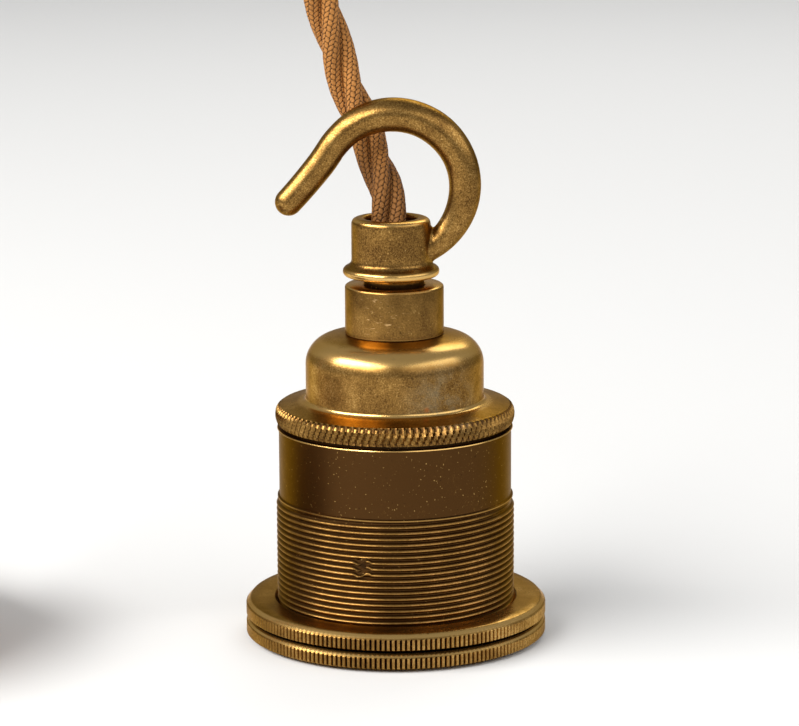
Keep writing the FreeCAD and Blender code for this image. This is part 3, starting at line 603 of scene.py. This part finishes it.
# %% The route
ROUTE = [
    (0, 0, 52), (-0.2, 0.5, 71.5), (-3.9, 7.2, 81.8), (-8, 9.6, 91.5), (-10.6, 9.2, 101),
    (-13.4, 7.5, 112), (-19, 6, 125), (-29.5, 5, 137.5), (-44, 5, 144), (-58.5, 6, 141.5),
    (-69.5, 8, 131.5), (-74.3, 11, 117), (-74.5, 15, 97), (-73.3, 18.5, 74), (-71.9, 20, 54),
    (-71.1, 19.6, 36), (-70.6, 13, 23.6), (-70, 1.4, 17)]
COIL_X, COIL_Y, ENTRY_TURN, END_TURN = -103.7, -12.0, 5.0, 190.0
PLACES = [(34.1, 17.0), (27.9, 17.0), (27.9, 10.7), (34.1, 10.7), (34.1, 4.4), (27.9, 4.4)]
FIRST_MOVE, MOVE, STAGGER, TURN_STEP = 300.0, 60.0, 30.0, 15.0


def coil_point(travel):
    """Where the flex is after it has gone round by travel, in degrees."""
    radius, height = PLACES[0]
    for number, (here, there) in enumerate(zip(PLACES, PLACES[1:])):
        share = (travel - FIRST_MOVE - number * (360 - STAGGER)) / MOVE
        share = min(max(share, 0.0), 1.0)
        share = share * share * (3 - 2 * share)
        radius += (there[0] - here[0]) * share
        height += (there[1] - here[1]) * share
    angle = math.radians(ENTRY_TURN - travel)
    return (COIL_X + radius * math.cos(angle), COIL_Y + radius * math.sin(angle), height)


whole_travel = ENTRY_TURN - END_TURN + len(PLACES) * 360
coil_steps = round(whole_travel / TURN_STEP)
ROUTE += [coil_point(whole_travel * step / coil_steps) for step in range(coil_steps + 1)]
print("route points:", len(ROUTE), "turns in the coil:", round(whole_travel / 360, 2))

# %% The line through the route
def smooth_line(places, spacing):
    """Even points along the NURBS curve that the places guide, in metres."""
    curve = bpy.data.curves.new("route", "CURVE")
    curve.dimensions = "3D"
    curve.resolution_u = 10
    spline = curve.splines.new("NURBS")
    spline.points.add(len(places) - 1)
    for point, place in zip(spline.points, places):
        point.co = (*(Vector(place) * MM), 1.0)
    spline.order_u = 3
    spline.use_endpoint_u = True
    guide = bpy.data.objects.new("route", curve)
    bpy.context.collection.objects.link(guide)
    rough_line = [vertex.co.copy() for vertex in bpy.data.meshes.new_from_object(guide).vertices]
    bpy.data.objects.remove(guide)
    reach = [0.0]
    for here, there in zip(rough_line, rough_line[1:]):
        reach.append(reach[-1] + (there - here).length)
    count = int(reach[-1] / spacing)
    line, run = [], 0
    for number in range(count + 1):
        wanted = reach[-1] * number / count
        while run < len(reach) - 2 and reach[run + 1] < wanted:
            run += 1
        share = (wanted - reach[run]) / (reach[run + 1] - reach[run])
        line.append(rough_line[run].lerp(rough_line[run + 1], share))
    return line, reach[-1]


SPACING = 1.0 * MM
flex_line, flex_length = smooth_line(ROUTE, SPACING)
print("flex length:", round(flex_length, 3), "m in", len(flex_line), "points")

# %% [markdown]
# A curve with a round bevel would give one plain tube. The real flex shows three strands that wind
# round each other, so each strand is a tube of its own round a spiral path. All three are one mesh,
# and its UV map runs round and along every strand, for the braid to follow.

# %% Twisting the strands
STRANDS, STRAND, OFFSET, LAY, SIDES = 3, 1.47, 1.62, 40.0, 14


def ahead_at(spots, number):
    """The direction of a line of spots at one of them."""
    return (spots[min(number + 1, len(spots) - 1)] - spots[max(number - 1, 0)]).normalized()


def steady_frames(line):
    """Two directions across the line at each point, which turn with it but don't spin."""
    side = ahead_at(line, 0).orthogonal().normalized()
    frames = []
    for number in range(len(line)):
        ahead = ahead_at(line, number)
        side = (side - ahead * side.dot(ahead)).normalized()
        frames.append((side.copy(), ahead.cross(side)))
    return frames


def twisted(name, line):
    """Tubes that wind round the line, with a UV map: round and along, in turns and mm."""
    frames = steady_frames(line)
    corners, faces, wraps = [], [], []
    step = (line[1] - line[0]).length / MM
    for strand in range(STRANDS):
        spots = []
        for number, (point, (right, up)) in enumerate(zip(line, frames)):
            turn = TURN * (number * step / LAY + strand / STRANDS)
            spots.append(point + (right * math.cos(turn) + up * math.sin(turn)) * OFFSET * MM)
        first = len(corners)
        for number, spot in enumerate(spots):
            ahead = ahead_at(spots, number)
            out = (spot - line[number]).normalized()
            out = (out - ahead * out.dot(ahead)).normalized()
            across = ahead.cross(out)
            for part in range(SIDES):
                a = TURN * part / SIDES
                corners.append(spot + (out * math.cos(a) + across * math.sin(a)) * STRAND * MM)
        for number in range(len(spots) - 1):
            low, high = number * step, (number + 1) * step
            for part in range(SIDES):
                here, beside = first + number * SIDES, (part + 1) % SIDES
                faces.append((here + part, here + beside,
                              here + SIDES + beside, here + SIDES + part))
                wraps.append(((part / SIDES, low), ((part + 1) / SIDES, low),
                              ((part + 1) / SIDES, high), (part / SIDES, high)))
        faces.append(tuple(first + part for part in reversed(range(SIDES))))
        faces.append(tuple(len(corners) - SIDES + part for part in range(SIDES)))
        wraps += [((0.5, 0),) * SIDES] * 2
    mesh = bpy.data.meshes.new(name)
    mesh.from_pydata(corners, [], faces)
    layer = mesh.uv_layers.new(name="round_and_along")
    for spot, value in zip(layer.data, [pair for wrap in wraps for pair in wrap]):
        spot.uv = value
    piece = bpy.data.objects.new(name, mesh)
    bpy.context.collection.objects.link(piece)
    smooth(60, piece)
    return piece


flex = twisted("flex", flex_line)

# %% [markdown]
# ## Finishes
#
# Each piece of brass gets its own patina, because each has worn in its own way. One finish for all
# would look like paint. The marks that one piece alone has, such as a bluish bloom or the scratches
# of a tool, are small functions that a patina calls.

# %% Brass, piece by piece
def verdigris(look, coat, blotch):
    """A bluish bloom low on the wall, with one rusty spot beside it."""
    bloom = look.near((8.0, -12.0, 42.0), 9.5) * blotch.between(0.36, 0.66) * 0.55
    coat = look.mix(bloom, coat, rgb(0.155, 0.165, 0.125))
    return look.mix(look.near((5.2, -13.9, 40.9), 0.7) * 0.8, coat, rgb(0.42, 0.13, 0.03))


def scratches(look, coat, blotch):
    """Fine bright lines that lean across the bush, where a tool slipped."""
    lines = look.noise(1.0, 2, 0.5, look.stretched(420, 300, 2400), 1.5).between(0.66, 0.72)
    return look.mix(lines * look.near((-2.5, -7.5, 54.5), 7.0), coat, rgb(0.75, 0.47, 0.20))


def staked(look, coat, blotch):
    """Painted shade in the punch mark's slot."""
    return look.mix(look.near((-5.25, -18.9, 16.3), 1.0), coat, SOOT_AND_SHADE)


# Rings here are painted highlights: the hook's collar top and bead, the bush's edges, the cap's
# shoulder and foot, the skirt's lip and thread top, and the shade rings' chamfers. Shade is painted
# shade: in the neck gap, under the cap's rim and between the shade rings. Grooves are darkened by
# tarnish and painted shade.
hook_brass = old_brass(
    "hook_brass", 0.44, rings=[(70.0, 0.6, 1.0), (61.3, 1.3, 1.15)], shade=[(59.2, 0.9, 0.95)],
    sand=0.8, grainy=0.95, within=8.6)
bush_brass = old_brass(
    "bush_brass", 0.40, rings=[(59.1, 0.3, 1.2), (51.2, 0.25, 0.7)], sand=0.3, marks=scratches)
cap_brass = old_brass(
    "cap_brass", 0.48, rings=[(49.3, 3.0, 1.1), (40.0, 0.8, 1.2)], groove=(19.26, 19.46),
    sand=0.6, grainy=0.8, marks=verdigris)
skirt_brass = old_brass(
    "skirt_brass", 0.12, rings=[(35.35, 0.16, 1.2), (23.8, 0.2, 0.7)], shade=[(36.0, 0.5, 0.9)],
    sand=0.6, grainy=0.8, marks=staked)
thread_brass = old_brass(
    "thread_brass", 0.55, groove=(19.45, 19.78), light=rgb(0.62, 0.33, 0.11), marks=staked)
ring_brass = old_brass(
    "ring_brass", 0.55, rings=[(6.0, 0.6, 1.2), (2.75, 0.4, 1.1)], groove=(24.68, 24.92),
    shade=[(3.48, 0.4, 0.95)], sand=0.5)

# %% [markdown]
# The porcelain is glazed, the contacts are bright metal and the cores are smooth plastic. None of
# them has a pattern, but a flat colour would look unreal, so each has faint clouds in its colour
# and fine unevenness in its gloss.

# %% Plain finishes
def plain(name, colour, rough, metal=0.0, mottle=0.12, grain=0.2, **fixed):
    """A finish with a little uneven colour and gloss."""
    look = Finish(name, Metallic=metal, **fixed)
    cloud = look.noise(260, 4, 0.6)
    fine = look.noise(1800, 2, 0.5)
    darker = rgb(*(value * (1 - mottle * 2) for value in colour[:3]))
    tone = look.mix(cloud.between(0.3, 0.7), darker, colour)
    return look.wear(tone, rough + fine * 0.12 - 0.05, fine, 0.01 * MM, grain)


porcelain = plain("glazed_porcelain", rgb(0.86, 0.84, 0.78), 0.16, 0.0, 0.03, 0.05, Coat_Weight=0.6)
plated = plain("plated_brass", rgb(0.70, 0.62, 0.42), 0.30, 1.0, 0.10)
bright_brass = plain("bright_brass", rgb(0.78, 0.58, 0.26), 0.26, 1.0, 0.08)
screw_steel = plain("screw_steel", rgb(0.58, 0.56, 0.52), 0.34, 1.0, 0.10)
core_brown = plain("core_brown", rgb(0.17, 0.075, 0.035), 0.42)
core_blue = plain("core_blue", rgb(0.04, 0.13, 0.42), 0.42)
core_green = plain("core_green", rgb(0.12, 0.36, 0.07), 0.42)
copper = plain("copper", rgb(0.72, 0.38, 0.22), 0.32, 1.0)
tape = plain("tie_tape", rgb(0.10, 0.08, 0.06), 0.85, 0.0, 0.2, 0.6)

# %% [markdown]
# The braid is woven from round bundles of yarn. Modelling each stitch would take millions of
# faces, so they are worked out from the strand's own UV map: columns of round stitches, every
# other column half a stitch on, with dark pinholes where they meet. Inside the hook the flex is
# darkened by painted shade, as the hook shades it.

# %% The braid
STITCH_COLUMNS, STITCH_LENGTH, SLANT, BRAID_RELIEF = 10.0, 0.88, 0.22, 0.42 * MM
HOOK_SHADE_HEIGHT, HOOK_SHADE_REACH, HOOK_SHADE_RADIUS = 71.0, 11.0, 14.0


def braided(name, light, dark):
    look = Finish(name, Specular_IOR_Level=0.25)
    own = look.node("ShaderNodeUVMap", {"uv_map": "round_and_along"}, {})
    column = look.node("ShaderNodeSeparateXYZ", {}, {0: own}, "X") * STITCH_COLUMNS
    along = look.node("ShaderNodeSeparateXYZ", {}, {0: own}, "Y") / STITCH_LENGTH
    across = column.fraction() * 2.0 - 1.0
    odd = ((column - column.fraction()) * 0.5).fraction() * 2.0
    rise = (along + across * (odd * 2.0 - 1.0) * SLANT + odd * 0.5).fraction() * 2.0 - 1.0
    stitch = (1.2 - across * across * 0.58 - rise * rise * 0.68).between(0.0, 1.0)
    yarn, patch = look.noise(3200, 3, 0.6), look.noise(90, 3, 0.6)
    height, radius = look.axis("Z") / MM, look.radius()
    # Painted shade: the flex is darker where it runs inside the hook.
    level = (1.0 - abs(height - HOOK_SHADE_HEIGHT) / HOOK_SHADE_REACH).between(0.0, 0.5)
    hook_shade = level * (HOOK_SHADE_RADIUS - radius).between(0.0, 2.0)
    share = stitch.between(0.05, 0.7) * (0.5 + yarn * 0.8) * (0.7 + patch * 0.5)
    share = share * (1.0 - hook_shade * 0.42)
    return look.wear(look.mix(share, dark, light), 0.7, stitch + yarn * 0.3, BRAID_RELIEF, 1.0)


braid = braided("golden_braid", rgb(0.49, 0.205, 0.047), rgb(0.034, 0.011, 0.004))

# %% [markdown]
# ## Putting it together
#
# Each piece now gets its finish, the body that it moves with and the solids that it stands for.
# The two rings slide and the contact springs, so they have bodies of their own. All the others
# belong to the holder.

# %% Putting the finishes on
finish_piece(skirt, skirt_brass, ["casing_skirt"])
finish_piece(thread, thread_brass)
finish_piece(lower_ring, ring_brass, ["shade_ring_lower"], "lower_ring")
finish_piece(upper_ring, ring_brass, ["shade_ring_upper"], "upper_ring")
finish_piece(cap, cap_brass, ["cap_dome"])
finish_piece(bush, bush_brass, ["neck_bush"])
finish_piece(hook, hook_brass, ["hook"])
inner_finishes = {
    "porcelain_base": porcelain, "porcelain_ring": porcelain, "screw_shell": plated,
    "shell_flange": plated, "centre_contact": bright_brass, "live_terminal": bright_brass,
    "neutral_terminal": bright_brass, "earth_terminal": bright_brass, "live_screw": screw_steel,
    "neutral_screw": screw_steel, "earth_screw": screw_steel, "shell_screws": screw_steel,
    "shell_nuts": screw_steel, "live_core": core_brown, "neutral_core": core_blue,
    "earth_core": core_green, "cord_tie": tape, "end_core_live": core_brown,
    "end_core_neutral": core_blue, "end_core_earth": core_green, "end_wires": copper}
for node, piece in inner_pieces.items():
    body = "contact" if node == "centre_contact" else "holder"
    finish_piece(piece, inner_finishes[node], [node], body)
finish_piece(flex, braid, ["cord_tube", "cord_coil"])

# %% [markdown]
# ## Floor and light
#
# A plain pale floor, a soft key light from the upper left, a weaker one from the right, a small
# one from behind and an even sky. Metal shows what it mirrors: small lamps would leave hard spots
# on the brass, so these are wide, and each round piece gets long soft streaks.

# %% The floor
bpy.ops.mesh.primitive_grid_add(x_subdivisions=2, y_subdivisions=2, size=8, location=(0, 0, 0))
floor = bpy.context.object
floor.name = "floor"
floor_look = Finish("floor_paint", Roughness=0.9, Base_Color=rgb(0.72, 0.71, 0.69))
floor.data.materials.append(floor_look.material)

# %% The lights
AIM, SKY, SKY_STRENGTH = (0, 0, 45 * MM), rgb(0.9, 0.92, 0.95), 0.42


def soft_light(name, place, width, height, power):
    bpy.ops.object.light_add(type="AREA", location=place)
    lamp = bpy.context.object
    lamp.name = name
    lamp.data.shape, lamp.data.energy = "RECTANGLE", power
    lamp.data.size, lamp.data.size_y = width, height
    lamp.rotation_euler = (Vector(AIM) - Vector(place)).to_track_quat("-Z", "Y").to_euler()
    print(f"{name}: {power} W")


soft_light("key", (-0.86, -0.55, 0.84), 1.5, 0.55, 28)
soft_light("panel", (0.92, -0.60, 0.75), 2.0, 0.75, 7)
soft_light("back", (0.3, 0.9, 0.9), 0.7, 0.7, 4)
world = bpy.data.worlds.new("even_sky")
bpy.context.scene.world = world
world.use_nodes = True
world.node_tree.nodes["Background"].inputs["Color"].default_value = SKY
world.node_tree.nodes["Background"].inputs["Strength"].default_value = SKY_STRENGTH
bpy.context.scene.view_settings.view_transform = "Standard"
